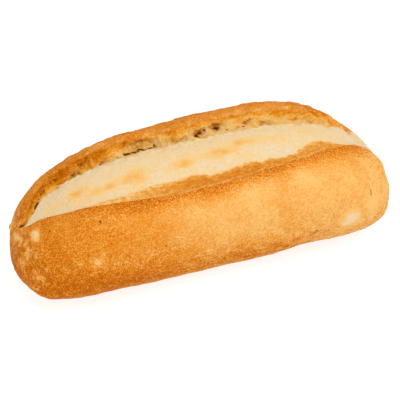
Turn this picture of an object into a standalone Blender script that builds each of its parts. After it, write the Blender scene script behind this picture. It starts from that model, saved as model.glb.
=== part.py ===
"""A bolillo: an oblong crusty bread roll, slashed once along the top.

The roll is one closed solid, resting on its flat base. +X runs along the roll, +Y towards its torn lip,
+Z up, and the origin is the middle of the base. It starts as a UV sphere with its poles at the two ends.
Every vertex of the sphere then goes to its place on a cross-section of the loaf, so that rows of vertices
follow the slash: its front lip, the brown ledge inside it, the pale band, the crevice and the torn wall.

Run with: blender --background --python part.py
"""

import math

import bmesh
import bpy
import numpy as np
from mathutils import Vector, noise

# The plain loaf, in metres. A station runs from -1 at the left end to 1 at the right end.
LENGTH = 0.160
WIDTH = 0.0663
HEIGHT = 0.0500
WIDTH_GAIN = (0.113, 0.037)  # share gained with the station and with its square
HEIGHT_GAIN = (-0.005, -0.028)
PLAN_BLUNTNESS = (6.0, 5.9)  # left and right end, seen from above: 2 is round, more is blunter
TOP_BLUNTNESS = (2.9, 3.05)  # left and right end, seen from the side
END_LIFT = (0.0132, 0.0139)  # height of the left and right tip above the table
BASE_BLUNTNESS = 8.0
BEND = -0.0031  # how far the ends swing to the front
GIRTH_LEVEL = 0.42  # the widest level, as a share of the section's height
SHOULDER = 2.67  # superellipse power of the section above its widest level
BELLY = 2.0  # and below it
BASE_SINK = 0.004  # how far the section would reach below the table if it weren't flat
BASE_ROUND = 0.002  # softness of the turn from the base to the side

# The slash, in metres
SLASH_START, SLASH_END = -0.93, 0.965  # stations of its two points
SLASH_OPEN = (-0.76, 0.885)  # between these stations it is fully open
SLASH_DEEP = (-0.74, 0.66)  # and between these it has its full depth
SLASH_SHALLOW = 0.98  # from here to the right the burst skin lies level with the crust
SLASH_TAIL = (0.76, 0.87)  # between these stations the torn edge swings to the front
TAIL_SWING = 0.0040
LIP_REACH = 0.0245  # how far in front of the middle the front lip lies at mid length
LIP_TAPER = (2.7, 2.35)  # how late the front lip turns to the middle, left and right
LIP_SPAN = (0.95, 1.07)  # stations at which it would reach the middle, left and right
CREVICE_REACH = 0.0056  # how far behind the middle the crevice lies at mid length
CREVICE_DRIFT = -0.0034  # the crevice's swing to the back towards the left end
CREST_REACH = 0.0126  # how far behind the middle the torn wall's top edge lies at mid length
CREST_DRIFT = -0.0032  # and its swing
LEDGE_RUN = 0.0036  # width of the brown ledge inside the front lip
LIP_RUN = 0.0007  # width of the step down from the front lip
LIP_STEP = 0.0009  # depth of that step
LIP_SWELL = 0.0005  # how far the front lip's edge stands proud of the crust
BAND_SINK = 0.0014  # depth of the pale band's edges
BAND_SWELL = 0.0013  # and how far its middle rises from there
GROOVE_DEPTH = 0.0042  # depth of the crevice
CREST_SWELL = 0.0003  # how far the torn wall's top edge stands proud

# Hollows torn under the wall's top edge: middle along X, half length, depth into the wall
HOLLOWS = (
    (-0.0620, 0.0050, 0.0012),
    (-0.0480, 0.0045, 0.0021),
    (-0.0255, 0.0085, 0.0026),
    (-0.0080, 0.0060, 0.0014),
    (0.0020, 0.0030, 0.0024),
    (0.0110, 0.0042, 0.0027),
    (0.0250, 0.0055, 0.0015),
    (0.0420, 0.0070, 0.0012),
)
HOLLOW_SHARPNESS = 4  # how square the ends of a hollow are

# Gentle swellings and dents of the whole loaf: middle along X, its angle from +Y over the top,
# half length, half angle, height
SWELLINGS = (
    (0.006, 218.0, 0.018, 32.0, 0.0009),
    (-0.050, 222.0, 0.012, 30.0, -0.0007),
    (0.040, 222.0, 0.014, 30.0, -0.0006),
    (0.072, 215.0, 0.010, 30.0, 0.0005),
    (-0.010, 62.0, 0.014, 20.0, -0.0012),
    (-0.052, 56.0, 0.013, 24.0, -0.0009),
    (0.0694, 84.0, 0.0032, 20.0, -0.0030),
    (-0.072, 206.0, 0.0048, 28.0, 0.0011),
)

# Unevenness of the torn wall and of the whole crust: height and wavelength
CRAG_HEIGHT, CRAG_SIZE = 0.0007, 0.0055
BUMP_HEIGHT, BUMP_SIZE = 0.0005, 0.019

# Rows of vertices along the roll, and around it from the middle of the base over the back to the front
RINGS = 78
BASE_BACK_ROWS, BACK_ROWS = 5, 15
WALL_ROWS, GROOVE_ROWS, BAND_ROWS, LEDGE_ROWS, LIP_ROWS = 6, 3, 8, 2, 1
FRONT_ROWS, BASE_FRONT_ROWS = 19, 5
GROOVE_SHARE = 0.20  # the part of the pale band that turns down into the crevice
RING_EVENNESS = 0.15  # 0 spaces the rings as a sphere's, 1 evenly

CRUST_COLOUR = (0.80, 0.36, 0.08, 1.0)
CRUST_ROUGHNESS = 0.62


def smooth(low, high, value):
    """0 below low, 1 above high, and a soft turn between them."""
    share = np.clip((value - low) / (high - low), 0.0, 1.0)
    return share * share * (3.0 - 2.0 * share)


def by_end(station, pair):
    """The left or the right value of a pair."""
    return np.where(station < 0, pair[0], pair[1])


def half_width(station):
    gain = 1.0 + WIDTH_GAIN[0] * station + WIDTH_GAIN[1] * station**2
    return 0.5 * WIDTH * gain * np.sqrt(1.0 - np.abs(station) ** by_end(station, PLAN_BLUNTNESS))


def levels(station):
    """Heights of a section's foot, widest level and top."""
    tip = by_end(station, END_LIFT)
    full = HEIGHT * (1.0 + HEIGHT_GAIN[0] * station + HEIGHT_GAIN[1] * station**2)
    top = tip + (full - tip) * np.sqrt(1.0 - np.abs(station) ** by_end(station, TOP_BLUNTNESS))
    foot = tip * (1.0 - np.sqrt(1.0 - np.abs(station) ** BASE_BLUNTNESS))
    return foot, foot + GIRTH_LEVEL * (top - foot), top


def angle_at(station, side):
    """The section's angle, from +Y over the top, where it lies at that Y from the section's middle."""
    reach = np.clip(np.abs(side) / half_width(station), 1e-6, 0.999)
    rise = (reach**-SHOULDER - 1.0) ** (1.0 / SHOULDER)
    return np.arctan2(rise, np.sign(side))


def slash_lines(station):
    """Y of the front lip, the crevice and the torn wall's top edge, from the section's middle."""
    share = np.minimum(np.abs(station) / by_end(station, LIP_SPAN), 1.0)
    lip = -LIP_REACH * (1.0 - share ** by_end(station, LIP_TAPER))
    swing = TAIL_SWING * smooth(SLASH_TAIL[0], SLASH_TAIL[1], station)
    crevice = CREVICE_REACH + CREVICE_DRIFT * station - swing
    crest = CREST_REACH + CREST_DRIFT * station - swing
    opening = slash_opening(station)
    middle = 0.5 * lip
    lip = middle + (lip - middle) * opening
    crest = crevice + (crest - crevice) * (0.4 + 0.6 * opening)
    closing = (middle - crevice) * (1.0 - opening)
    return lip, crevice + closing, crest + closing


def slash_opening(station):
    """How far the slash is open: 0 at its two points, 1 over most of its length."""
    left = smooth(SLASH_START, SLASH_OPEN[0], station)
    return np.sqrt(left * (1.0 - smooth(SLASH_OPEN[1], SLASH_END, station)))


def slash_depth(station):
    """The share of its full depth that the slash has at a station."""
    left = smooth(SLASH_START, SLASH_DEEP[0], station)
    return left * (1.0 - smooth(SLASH_DEEP[1], SLASH_SHALLOW, station))


def row_angles(station):
    """The angles at which the rows of vertices lie on a section, and their zones' names and shares."""
    lip, crevice, wall = slash_lines(station)
    shrink = half_width(station) / half_width(0.0)
    edges = {
        "lip": angle_at(station, lip),
        "step": angle_at(station, lip + LIP_RUN * slash_opening(station) * shrink),
        "ledge": angle_at(station, lip + LEDGE_RUN * slash_opening(station) * shrink),
        "crevice": angle_at(station, crevice),
        "wall": angle_at(station, wall),
    }
    # Near the two tips the rows spread out evenly again.
    spread = smooth(0.95, 0.998, abs(station))
    even = {"wall": 62.0, "crevice": 80.0, "ledge": 112.0, "step": 124.0, "lip": 130.0}
    for name, degrees in even.items():
        edges[name] = (1.0 - spread) * edges[name] + spread * math.radians(degrees)
    groove = edges["crevice"] + GROOVE_SHARE * (edges["ledge"] - edges["crevice"])
    zones = (
        ("base", BASE_BACK_ROWS, math.radians(-90.0), math.radians(-38.0)),
        ("back", BACK_ROWS, math.radians(-38.0), edges["wall"]),
        ("wall", WALL_ROWS, edges["wall"], edges["crevice"]),
        ("groove", GROOVE_ROWS, edges["crevice"], groove),
        ("band", BAND_ROWS, groove, edges["ledge"]),
        ("ledge", LEDGE_ROWS, edges["ledge"], edges["step"]),
        ("step", LIP_ROWS, edges["step"], edges["lip"]),
        ("front", FRONT_ROWS, edges["lip"], math.radians(218.0)),
        ("base", BASE_FRONT_ROWS, math.radians(218.0), math.radians(270.0)),
    )
    rows = []
    for name, count, start, end in zones:
        for step in range(count):
            share = step / count
            rows.append((start + share * (end - start), name, share))
    return rows


def relief(zone, share, depth):
    """How far a row stands out from the plain loaf, in metres."""
    low = -BAND_SINK * depth
    if zone == "back":
        return CREST_SWELL * depth * smooth(0.55, 1.0, share)
    if zone == "wall":
        return depth * (CREST_SWELL - (CREST_SWELL + GROOVE_DEPTH) * share**1.7)
    if zone == "groove":
        return -GROOVE_DEPTH * depth + (GROOVE_DEPTH * depth + low) * smooth(0.0, 1.15, share)
    if zone == "band":
        return low + BAND_SWELL * depth * math.sin(math.pi * (0.18 + 0.82 * share))
    if zone == "ledge":
        return low + (BAND_SINK - LIP_STEP) * depth * share
    if zone == "step":
        return -LIP_STEP * depth
    if zone == "front":
        return LIP_SWELL * depth * (1.0 - smooth(0.0, 0.16, share))
    return 0.0


def hollow_depth(x, zone, share):
    """How far the torn wall is hollowed to the back at X, most of it low on the wall."""
    if zone != "wall":
        return 0.0
    along = 0.0
    for middle, half_length, depth in HOLLOWS:
        along += depth / (1.0 + abs((x - middle) / half_length) ** HOLLOW_SHARPNESS)
    return along * smooth(0.3, 0.75, share)


def flat_below(height):
    """The height with everything below the table laid on it, and a soft turn from there to the side."""
    if height < -BASE_ROUND:
        return 0.0
    if height < BASE_ROUND:
        return (height + BASE_ROUND) ** 2 / (4.0 * BASE_ROUND)
    return height


def section_point(station, angle, zone, share):
    """The point of the finished roll at a station and an angle round its section."""
    foot, girth, top = levels(station)
    across, up = math.cos(angle), math.sin(angle)
    power = SHOULDER if up >= 0.0 else BELLY
    radius = (abs(across) ** power + abs(up) ** power) ** (-1.0 / power)
    sink = BASE_SINK * (1.0 - abs(station) ** 4)
    reach_up = top - girth if up >= 0.0 else girth - foot + sink
    plain = Vector((0.0, half_width(station) * radius * across, reach_up * radius * up))
    # The gradient of the superellipse points straight out of it.
    outward = Vector((
        0.0,
        math.copysign(abs(across * radius) ** (power - 1.0), across) / half_width(station),
        math.copysign(abs(up * radius) ** (power - 1.0), up) / reach_up,
    )).normalized()
    depth = slash_depth(station)
    point = plain + outward * relief(zone, share, depth)
    point += Vector((0.5 * LENGTH * station, BEND * station**2, girth))
    point.y += hollow_depth(point.x, zone, share) * depth
    torn = zone in ("wall", "groove") or (zone == "back" and share > 0.75)
    return roughen(point, outward, angle, depth if torn else 0.0)


def roughen(point, outward, angle, torn):
    """Adds the loaf's swellings, the crust's bumps and the wall's crags, and lays the base on the table."""
    bump = BUMP_HEIGHT * noise.noise(point / BUMP_SIZE)
    for x, degrees, half_length, half_angle, height in SWELLINGS:
        along = (point.x - x) / half_length
        around = (math.degrees(angle) - degrees) / half_angle
        bump += height * math.exp(-along * along - around * around)
    bump += torn * CRAG_HEIGHT * noise.noise(point / CRAG_SIZE)
    point = point + outward * bump
    point.z = flat_below(point.z)
    return point


def ring_station(turn):
    """The station of a ring from its turn along the sphere, 0 at the left pole and pi at the right one."""
    return (1.0 - RING_EVENNESS) * -math.cos(turn) + RING_EVENNESS * (2.0 * turn / math.pi - 1.0)


def shape_roll(mesh):
    """Moves the vertices of a unit UV sphere, with its poles on Z, to the roll's surface."""
    row_count = len(row_angles(0.0))
    rows_of = {}
    for vertex in mesh.verts:
        turn = math.pi - math.acos(max(-1.0, min(1.0, vertex.co.z)))
        ring = round(turn / math.pi * RINGS)
        station = ring_station(math.pi * ring / RINGS)
        if ring in (0, RINGS):
            tip = float(levels(station)[0])
            vertex.co = Vector((0.5 * LENGTH * station, BEND, tip))
            continue
        if ring not in rows_of:
            rows_of[ring] = row_angles(station)
        row = round(math.atan2(vertex.co.y, vertex.co.x) / (2.0 * math.pi) * row_count) % row_count
        vertex.co = section_point(station, *rows_of[ring][row])


def make_crust():
    material = bpy.data.materials.new("crust")
    material.use_nodes = True
    shader = material.node_tree.nodes["Principled BSDF"]
    shader.inputs["Base Color"].default_value = CRUST_COLOUR
    shader.inputs["Roughness"].default_value = CRUST_ROUGHNESS
    material.diffuse_color = CRUST_COLOUR
    return material


def make_roll(collection):
    shape = bmesh.new()
    bmesh.ops.create_uvsphere(shape, u_segments=len(row_angles(0.0)), v_segments=RINGS, radius=1.0)
    shape_roll(shape)
    bmesh.ops.recalc_face_normals(shape, faces=shape.faces)
    mesh = bpy.data.meshes.new("roll")
    shape.to_mesh(mesh)
    shape.free()
    mesh.shade_smooth()
    mesh.materials.append(make_crust())
    roll = bpy.data.objects.new("roll", mesh)
    collection.objects.link(roll)
    return roll


def clear_scene():
    for item in list(bpy.data.objects):
        bpy.data.objects.remove(item, do_unlink=True)


def main():
    clear_scene()
    collection = bpy.data.collections.new("bolillo roll")
    bpy.context.scene.collection.children.link(collection)
    make_roll(collection)


main()
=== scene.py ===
"""A bolillo on a pale table: its crust, its torn slash, the light and the camera.

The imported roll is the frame. One finer mesh of the same form stands for it. It is a loft of rings along
the roll, whose rows follow the slash: the front lip, the brown ledge inside it, the pale band, the
crevice and the torn wall behind it. What lies where is written on the mesh as masks from 0 to 1, and the
crust's material turns those masks into colour, roughness and fine relief.
"""

import math

import bpy
import numpy as np
from mathutils import Matrix, Vector, noise


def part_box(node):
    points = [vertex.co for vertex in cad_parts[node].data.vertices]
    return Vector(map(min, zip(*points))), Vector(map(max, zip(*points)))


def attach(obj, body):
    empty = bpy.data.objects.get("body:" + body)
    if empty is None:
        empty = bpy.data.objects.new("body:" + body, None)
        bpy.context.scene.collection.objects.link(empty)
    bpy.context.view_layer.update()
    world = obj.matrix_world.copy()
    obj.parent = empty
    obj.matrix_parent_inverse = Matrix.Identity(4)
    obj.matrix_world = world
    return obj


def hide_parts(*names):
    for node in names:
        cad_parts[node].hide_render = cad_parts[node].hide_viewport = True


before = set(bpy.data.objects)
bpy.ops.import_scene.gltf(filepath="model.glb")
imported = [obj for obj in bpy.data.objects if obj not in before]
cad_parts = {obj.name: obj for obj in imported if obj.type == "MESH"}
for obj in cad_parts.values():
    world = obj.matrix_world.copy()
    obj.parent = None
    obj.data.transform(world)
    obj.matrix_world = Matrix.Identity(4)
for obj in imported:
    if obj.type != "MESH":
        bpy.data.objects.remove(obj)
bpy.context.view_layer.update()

# The plain loaf, in metres. A station runs from -1 at the left end to 1 at the right end.
LOW_CORNER, HIGH_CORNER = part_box("roll")
LENGTH = HIGH_CORNER.x - LOW_CORNER.x
WIDTH = 0.0663
HEIGHT = 0.050
WIDTH_GAIN = (0.113, 0.037)  # share gained with the station and with its square
HEIGHT_GAIN = (-0.005, -0.028)
PLAN_BLUNTNESS = (6.0, 5.9)  # left and right end, seen from above: 2 is round, more is blunter
TOP_BLUNTNESS = (2.9, 3.05)  # left and right end, seen from the side
END_LIFT = (0.0132, 0.0139)  # height of the left and right tip above the table
BASE_BLUNTNESS = 8.0
BEND = -0.0031  # how far the ends swing to the front
GIRTH_LEVEL = 0.42  # the widest level, as a share of the section's height
SHOULDER = 2.67  # superellipse power of the section above its widest level
BELLY = 2.0  # and below it
BASE_SINK = 0.004
BASE_ROUND = 0.002

# The slash, in metres
SLASH_START, SLASH_END = -0.93, 0.965  # stations of its two points
SLASH_OPEN = (-0.76, 0.885)  # between these stations it is fully open
SLASH_DEEP = (-0.74, 0.66)  # and between these it has its full depth
SLASH_SHALLOW = 0.98  # from here to the right the burst skin lies level with the crust
SLASH_TAIL = (0.76, 0.87)  # between these stations the torn edge swings to the front
TAIL_SWING = 0.004
LIP_REACH = 0.0245
LIP_TAPER = (2.7, 2.35)
LIP_SPAN = (0.95, 1.07)
CREVICE_REACH, CREVICE_DRIFT = 0.0056, -0.0034
CREST_REACH, CREST_DRIFT = 0.0126, -0.0032
LEDGE_RUN = 0.0036
LIP_RUN = 0.0007
LIP_STEP = 0.0009
LIP_SWELL = 0.0005
BAND_SINK = 0.0014
BAND_SWELL = 0.0013
GROOVE_DEPTH = 0.0042
GROOVE_SHARE = 0.20  # the part of the pale band that turns down into the crevice
CREST_SWELL = 0.0003
CREST_FROM = 0.55  # share of the back's rows from which the crest swells
WALL_CURVE = 1.7  # how late the torn wall drops towards the crevice
GROOVE_TURN = 1.15  # share of the groove's rows over which it climbs to the band
BAND_START = 0.18  # how far into its arch the pale band begins
LIP_FADE = 0.14  # share of the front's rows over which the lip's swell fades
SHUT_WALL = 0.4  # share of its height that the torn wall keeps where the slash is shut

# Gentle swellings and dents of the whole loaf: middle along X, its angle from +Y over the top,
# half length, half angle, height
SWELLINGS = (
    (0.006, 218.0, 0.018, 32.0, 0.0009),
    (-0.050, 222.0, 0.012, 30.0, -0.0007),
    (0.040, 222.0, 0.014, 30.0, -0.0006),
    (0.072, 215.0, 0.010, 30.0, 0.0005),
    (-0.010, 62.0, 0.014, 20.0, -0.0012),
    (-0.052, 56.0, 0.013, 24.0, -0.0009),
    (0.0694, 84.0, 0.0032, 20.0, -0.003),
    (-0.072, 206.0, 0.0048, 28.0, 0.0011),
)

# Hollows of the torn wall, whose colour carries painted shade: middle along X, half length, where on the
# wall from its top edge (0) to the crevice (1), half of that span, depth
HOLLOWS = (
    (-0.0665, 0.003, 0.82, 0.24, 0.0012), (-0.0505, 0.0032, 0.82, 0.20, 0.0014),
    (-0.0462, 0.0012, 0.62, 0.14, 0.001), (-0.0372, 0.0042, 0.92, 0.14, 0.001),
    (-0.0225, 0.0074, 0.70, 0.29, 0.0028), (-0.007, 0.0056, 0.86, 0.17, 0.0012),
    (0.0032, 0.0032, 0.80, 0.14, 0.0018), (0.0104, 0.0036, 0.68, 0.17, 0.0026),
    (0.0236, 0.0032, 0.78, 0.14, 0.0012), (0.031, 0.0036, 0.90, 0.11, 0.0009),
    (0.048, 0.007, 0.72, 0.12, 0.0006),
)

# Scorched pores, and painted deep shade in and beside the hollows: middle along X, half length, place on
# the wall, half of that span, darkness of scorch and painted shade
PORES_AND_SHADE = (
    (-0.0698, 0.0012, 0.98, 0.14, 0.55), (-0.0674, 0.0014, 0.88, 0.10, 0.85),
    (-0.0656, 0.001, 0.74, 0.07, 0.65), (-0.0639, 0.001, 0.60, 0.07, 0.75),
    (-0.0625, 0.0006, 0.66, 0.06, 0.75), (-0.0586, 0.0008, 0.59, 0.06, 0.60),
    (-0.0571, 0.0008, 0.56, 0.06, 0.80), (-0.050, 0.0018, 0.86, 0.10, 0.62),
    (-0.048, 0.001, 0.92, 0.07, 0.55), (-0.0535, 0.001, 0.90, 0.06, 0.50),
    (-0.0462, 0.001, 0.60, 0.07, 0.48), (-0.039, 0.0018, 0.98, 0.04, 0.70),
    (-0.0318, 0.0012, 0.97, 0.04, 0.60), (-0.0276, 0.0016, 0.94, 0.07, 1.00),
    (-0.0245, 0.0024, 0.95, 0.05, 0.85), (-0.0212, 0.0018, 0.94, 0.06, 0.90),
    (-0.018, 0.002, 0.95, 0.05, 0.75), (-0.016, 0.001, 0.88, 0.10, 0.75),
    (-0.0139, 0.0006, 0.66, 0.05, 0.80), (-0.0066, 0.0009, 0.97, 0.04, 0.60),
    (-0.0031, 0.0016, 0.94, 0.04, 0.50), (0.0022, 0.0013, 0.85, 0.06, 0.90),
    (0.0036, 0.001, 0.81, 0.05, 0.80), (0.0055, 0.0007, 0.78, 0.06, 0.80),
    (0.0096, 0.0011, 0.72, 0.05, 0.60), (0.0112, 0.0014, 0.74, 0.08, 1.00),
    (0.0147, 0.001, 0.84, 0.05, 0.70), (0.0188, 0.0012, 0.92, 0.03, 0.70),
    (0.0216, 0.0014, 0.94, 0.03, 0.75), (0.0232, 0.001, 0.81, 0.05, 0.45),
    (0.0245, 0.0007, 0.72, 0.05, 0.55), (0.0295, 0.0014, 0.97, 0.03, 0.70),
    (0.0308, 0.001, 0.90, 0.04, 0.50), (0.0329, 0.001, 0.97, 0.03, 0.50),
    (0.0443, 0.0024, 0.66, 0.04, 0.35), (0.0523, 0.001, 0.72, 0.05, 0.30),
)

# Strands of dough that bridge the crevice: middle along X, half width, height
STRANDS = (
    (-0.0425, 0.0011, 0.0016),
    (-0.014, 0.001, 0.0022),
    (0.027, 0.0012, 0.0008),
)
HOLLOW_EDGE = 1.4  # how steep a hollow's edge is
HOLLOW_DROP = 0.5  # how far a hollow sinks for how far it is pushed back
HOLLOW_FULL = 0.0014  # the depth from which a hollow has its full painted shade
PORE_PUSH, PORE_DROP = 0.0006, 0.0004
STRAND_MIDDLE, STRAND_SPAN = 0.9, 0.45  # place on the wall and half of the span
STRAND_LEAN = 0.5
STRAND_COVER = 0.9  # the share of a hollow's painted shade and of a pore's scorch and painted shade that a strand hides

# Noise that roughens the lines of the slash, the edges of hollows and the margins of colours: height or
# share, wavelength, seed
LIP_WAVES = ((0.0003, 0.007, 3.1),)
CREVICE_WAVES = ((0.001, 0.0065, 7.7), (0.0007, 0.0024, 1.3))
CREST_WAVES = ((0.0013, 0.0085, 5.2), (0.0007, 0.003, 9.4))
HOLLOW_WAVES = ((0.0009, 0.0026, 71.0), (0.0004, 0.0011, 73.0))
LEVEL_WAVES = ((0.10, 0.0032, 79.0), (0.05, 0.0012, 83.0))
MARGIN_WAVES = ((0.001, 0.004, 41.0), (0.0006, 0.0017, 43.0))

# Relief of the baked surface: wavelength and seed of each kind of wave. The fibres and wrinkles are drawn
# out along X.
BROAD_HEIGHT, BROAD_SIZE = 0.0005, 0.019
MIDDLE_WAVE, FINE_WAVE, FINEST_WAVE = (0.0045, 11.0), (0.0019, 23.0), (0.001, 31.0)
FIBRE_DRAW, FIBRE_WAVE = (0.35, 1.0, 1.0), (0.0016, 37.0)
WRINKLE_DRAW, WRINKLE_WAVE, WRINKLE_HEIGHT = (0.3, 1.0, 1.0), (0.0017, 39.0), 0.00018
WRINKLED = (0.026, 0.010)  # the heights between which the wrinkles come in
CRUMBLY_CREST = 0.70  # share of the back's rows from which the crest is crumbly
SHAGGY_BAND = (0.30, 0.02)  # the shares of the pale band between which it turns shaggy

# How high the middle, fine and finest waves and the fibres stand on each kind of surface
TORN_RELIEF = (0.0008, 0.0006, 0.0004, 0.0004)
CREST_RELIEF = (0.0006, 0.0004, 0.0, 0.0003)
CRUST_RELIEF = (0.00020, 0.00010, 0.00005, 0.0)
BAND_RELIEF = (0.00022, 0.00008, 0.0, 0.0)
SHAGGY_RELIEF = (0.0004, 0.0006, 0.0005, 0.0)

# Lumps and pits near the two tips: place, reach along X, Y and Z, height
LUMPS = (
    ((-0.0724, -0.0097, 0.0299), (0.0024, 0.0028, 0.0024), 0.0007),
    ((-0.0736, -0.0045, 0.0296), (0.0016, 0.0022, 0.0018), 0.0006),
    ((-0.0736, 0.0002, 0.0285), (0.0013, 0.0014, 0.0014), -0.0012),
    ((-0.0763, -0.0001, 0.0246), (0.002, 0.0026, 0.002), 0.0006),
    ((-0.0764, 0.008, 0.0226), (0.0016, 0.0018, 0.0014), 0.001),
    ((-0.0779, -0.011, 0.020), (0.002, 0.0026, 0.0024), 0.0004),
    ((0.0721, -0.0273, 0.0222), (0.0018, 0.0018, 0.0018), 0.0006),
    ((0.0703, 0.0058, 0.031), (0.0021, 0.0065, 0.006), -0.0016),
    ((0.0715, -0.018, 0.0305), (0.0045, 0.0055, 0.0055), 0.0012),
)

# Small dark marks of the crust: place, reach along X, Y and Z
SPECKS = (
    ((-0.0501, -0.0237, 0.0396), (0.0005, 0.001, 0.0005)),
    ((-0.0674, -0.0151, 0.0343), (0.0004, 0.0006, 0.0004)),
    ((-0.0036, -0.0251, 0.0436), (0.0006, 0.0005, 0.0006)),
    ((-0.0273, -0.0321, 0.0275), (0.0005, 0.0008, 0.0004)),
    ((-0.0313, -0.032, 0.0275), (0.0004, 0.0008, 0.0003)),
    ((0.0356, -0.0351, 0.0178), (0.0009, 0.001, 0.0004)),
    ((0.0346, -0.0349, 0.0168), (0.0006, 0.001, 0.0004)),
    ((0.0607, -0.0327, 0.028), (0.0003, 0.0018, 0.0018)),
    ((-0.0742, 0.0002, 0.0278), (0.0013, 0.0009, 0.001)),
    ((-0.0752, -0.0022, 0.0262), (0.0004, 0.001, 0.0005)),
)

# The browned ledge inside the front lip: places along X, its width there, and how brown it is
LEDGE_X = (
    -0.057, -0.0494, -0.0406, -0.030, -0.0239, -0.0178, -0.0123, -0.0105, -0.0056,
    -0.0025, 0.001, 0.0043, 0.007, 0.013, 0.0163, 0.0184, 0.022, 0.0276,
    0.0322, 0.0354, 0.0401, 0.045, 0.0509, 0.055, 0.058, 0.064,
)
LEDGE_WIDTH = (
    0.0003, 0.003, 0.0043, 0.0062, 0.0068, 0.0074, 0.0069, 0.0074, 0.0061,
    0.0054, 0.0059, 0.0056, 0.0063, 0.0063, 0.0058, 0.0043, 0.0056, 0.004,
    0.0036, 0.0054, 0.0073, 0.007, 0.0058, 0.0034, 0.002, 0.0003,
)
LEDGE_BROWN = (
    0.30, 0.38, 0.45, 0.55, 0.70, 0.85, 0.95, 0.98, 1.00,
    0.94, 0.94, 0.96, 1.00, 1.00, 0.98, 0.95, 0.92, 0.88,
    0.82, 0.78, 0.74, 0.70, 0.72, 0.66, 0.56, 0.30,
)

# Warm patches of the pale band: middle along X and Y, half length, half width, strength
WARM_PATCHES = (
    (0.0028, -0.0118, 0.0062, 0.0022, 0.75),
    (-0.0129, -0.0127, 0.005, 0.0022, 0.65),
    (-0.0323, -0.0116, 0.0062, 0.0034, 0.85),
    (-0.054, -0.0072, 0.004, 0.0022, 0.85),
    (-0.0475, -0.0116, 0.005, 0.002, 0.55),
    (-0.0425, -0.0108, 0.0036, 0.0018, 0.45),
    (-0.0647, -0.0054, 0.003, 0.002, 0.22),
    (0.0149, -0.0086, 0.0056, 0.002, 0.60),
    (0.044, -0.008, 0.006, 0.0024, 0.40),
    (0.030, -0.010, 0.006, 0.0022, 0.25),
)
WARM_GAIN, WARM_TONES = 1.1, ((0.8, 0.0035, 61.0),)
WARM_MIDDLE = (0.0, 0.030, 0.10)  # the band is warmer round here: middle along X, half length, strength

# Flour and undercoloured skin on the crust: place, reach along X, Y and Z, strength
FLOUR_MARKS = (
    ((0.0511, -0.0362, 0.0208), (0.0036, 0.004, 0.0028), 1.0),
    ((0.0487, -0.0362, 0.0184), (0.0028, 0.004, 0.0019), 0.8),
    ((0.061, -0.034, 0.0228), (0.003, 0.004, 0.005), 0.30),
    ((0.0614, -0.0326, 0.0275), (0.0005, 0.002, 0.0026), 0.45),
    ((-0.0721, -0.011, 0.0312), (0.0026, 0.0034, 0.003), 0.56),
    ((-0.0763, -0.001, 0.0244), (0.0018, 0.002, 0.0022), 0.52),
    ((-0.0772, -0.0052, 0.0262), (0.0016, 0.0016, 0.003), 0.44),
    ((-0.0785, -0.0127, 0.020), (0.0022, 0.002, 0.0028), 0.42),
    ((-0.0746, -0.0202, 0.019), (0.0014, 0.0026, 0.0026), 0.40),
    ((-0.054, -0.0308, 0.0263), (0.0021, 0.004, 0.0032), 0.40),
    ((-0.052, -0.030, 0.030), (0.001, 0.004, 0.003), 0.26),
    ((-0.0556, -0.0309, 0.0215), (0.0014, 0.004, 0.0028), 0.24),
    ((-0.0608, -0.0289, 0.0265), (0.0012, 0.003, 0.0016), 0.22),
    ((-0.070, -0.0216, 0.025), (0.001, 0.002, 0.0036), 0.22),
)
FLOUR_STRAY, SPECK_STRAY = 0.0012, 0.0003  # how far noise moves the marks' outlines
STRAY_SIZE, STRAY_SEEDS = 0.0024, (5.0, 6.0, 7.0)
DUSTED_TIP = (0.0755, 0.079, 0.30)  # the right tip is dusted: begins, full, strength
DUSTED_UP = (0.010, 0.020)  # but not its foot

# Where the looks of the slash change. A pair runs from where a look begins, or begins to fade, to where
# that is complete: in metres along X, Y or Z, or as its comment says. A third number is its strength.
TORN_OPENING, PALE_OPENING = (0.10, 0.45), (0.15, 0.45)  # shares by which the slash is open
LEDGE_OPENING, RIM_OPENING = (0.30, 0.60), (0.05, 0.60)
TORN_END = (0.057, 0.063)
TORN_TOP = (0.0, 0.45)  # share of the wall's rows
GROOVE_WARM_SPAN = (0.55, 1.0)  # share of the groove's rows over which its warm crumb colour, partly painted bounce light, fades out
TORN_TONES = ((0.30, 0.0052, 45.0),)
GROOVE_WARMING = 0.45  # how much more orange, with less crumb, the groove's top is painted, as warm light bounced in the crevice
WALL_BROWN = (-0.015, -0.056)
BROWN_FOOT, BROWN_FOOT_LATE = 0.75, 3  # how pale its foot is there, and how late that comes
SKIN_OVER_WALL, SKIN_LEAN = (0.0635, 0.0675), 0.004
FAN_MIDDLE, FAN_REACH = (0.0738, -0.0005), (0.0036, 0.0062)  # along X and Y
FAN_LEAN = 0.15
FAN_EDGE = (1.35, 0.60)  # in reaches from its middle
FAN_UP = (0.019, 0.024)
PALE_TIP = (-0.060, -0.070, 0.20)
PALE_RAGGED = 160.0  # how much of opening a metre of the margin's noise counts for
LEDGE_EDGE = (0.60, 1.12)  # in widths of the ledge
LEDGE_RAGGED = 0.6  # how closely the ledge's edge follows the margin's noise
DUSTY_MIDDLE, DUSTY_HALF = 1.7, 0.7  # in widths of the ledge
DUSTY_END = (0.030, 0.050)
DUSTY_LEFT = (-0.030, -0.050, 0.35)
DUSTY_RIGHT = (0.064, 0.006)  # middle along X, half length
RIM_LEFT = (-0.070, -0.030)
RIM_RIGHT = (0.058, 0.074, 0.5)
RIM_WIDTH, RIM_WAVES = 0.004, ((0.0012, 0.011, 47.0),)
RIM_WIDER = (0.028, 0.046, 0.0018)
# A painted highlight along the lip: where along X it comes in and fades out
HIGHLIGHT_LEFT, HIGHLIGHT_RIGHT = (-0.036, -0.012), (0.040, 0.056)
HIGHLIGHT_MIDDLE, HIGHLIGHT_HALF = 0.0005, 0.0004  # the painted highlight's distance from the lip, half its width
HIGHLIGHT_WAVES = ((0.0005, 0.009, 97.0),)

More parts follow.
